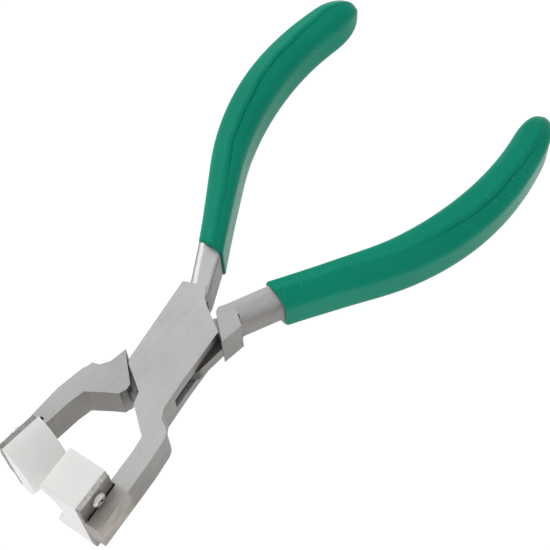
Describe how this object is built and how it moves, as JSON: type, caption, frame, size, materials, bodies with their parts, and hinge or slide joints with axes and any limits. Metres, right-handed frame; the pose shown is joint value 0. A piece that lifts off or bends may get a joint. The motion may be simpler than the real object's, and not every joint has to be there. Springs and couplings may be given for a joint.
{
  "type": "nylon-jaw bracelet-forming pliers",
  "caption": "Box-joint hand pliers with a hollow and a matching crowned nylon jaw for curving metal strips, and long dipped grips.",
  "frame": {"origin": "where the pivot pin's axis meets the flat underside of the joint", "axes": "+Z along the pivot pin from the underside to the top face, +Y towards the handles, so the jaws point to -Y; +X to the right, on the side of the right handle and of the hollow nylon jaw"},
  "size_m": [0.0772, 0.1528, 0.0242],
  "materials": {
    "steel": "satin ground tool steel with eased edges",
    "plate_steel": "machined steel plate, slightly rough edges",
    "screw": "bright plated screw with a cross recess",
    "pin": "ground flush with the joint's faces",
    "grip": "glossy green dipped vinyl",
    "nylon": "off-white semi-matte nylon"
  },
  "bodies": {
    "outer_arm": {"outer_member": "steel", "pivot_pin": "pin", "concave_jaw_plate": "plate_steel", "concave_nylon_jaw": "nylon", "left_grip": "grip", "concave_jaw_screw_upper": "screw", "concave_jaw_screw_lower": "screw"},
    "inner_arm": {"inner_member": "steel", "convex_jaw_plate": "plate_steel", "convex_nylon_jaw": "nylon", "right_grip": "grip", "convex_jaw_screw_upper": "screw", "convex_jaw_screw_lower": "screw"}
  },
  "joints": [
    {"name": "pivot", "type": "hinge", "parent": "outer_arm", "child": "inner_arm", "pos_m": [0, 0, 0.0055], "axis": [0, 0, -1], "range_deg": [-10.3, 14]}
  ]
}
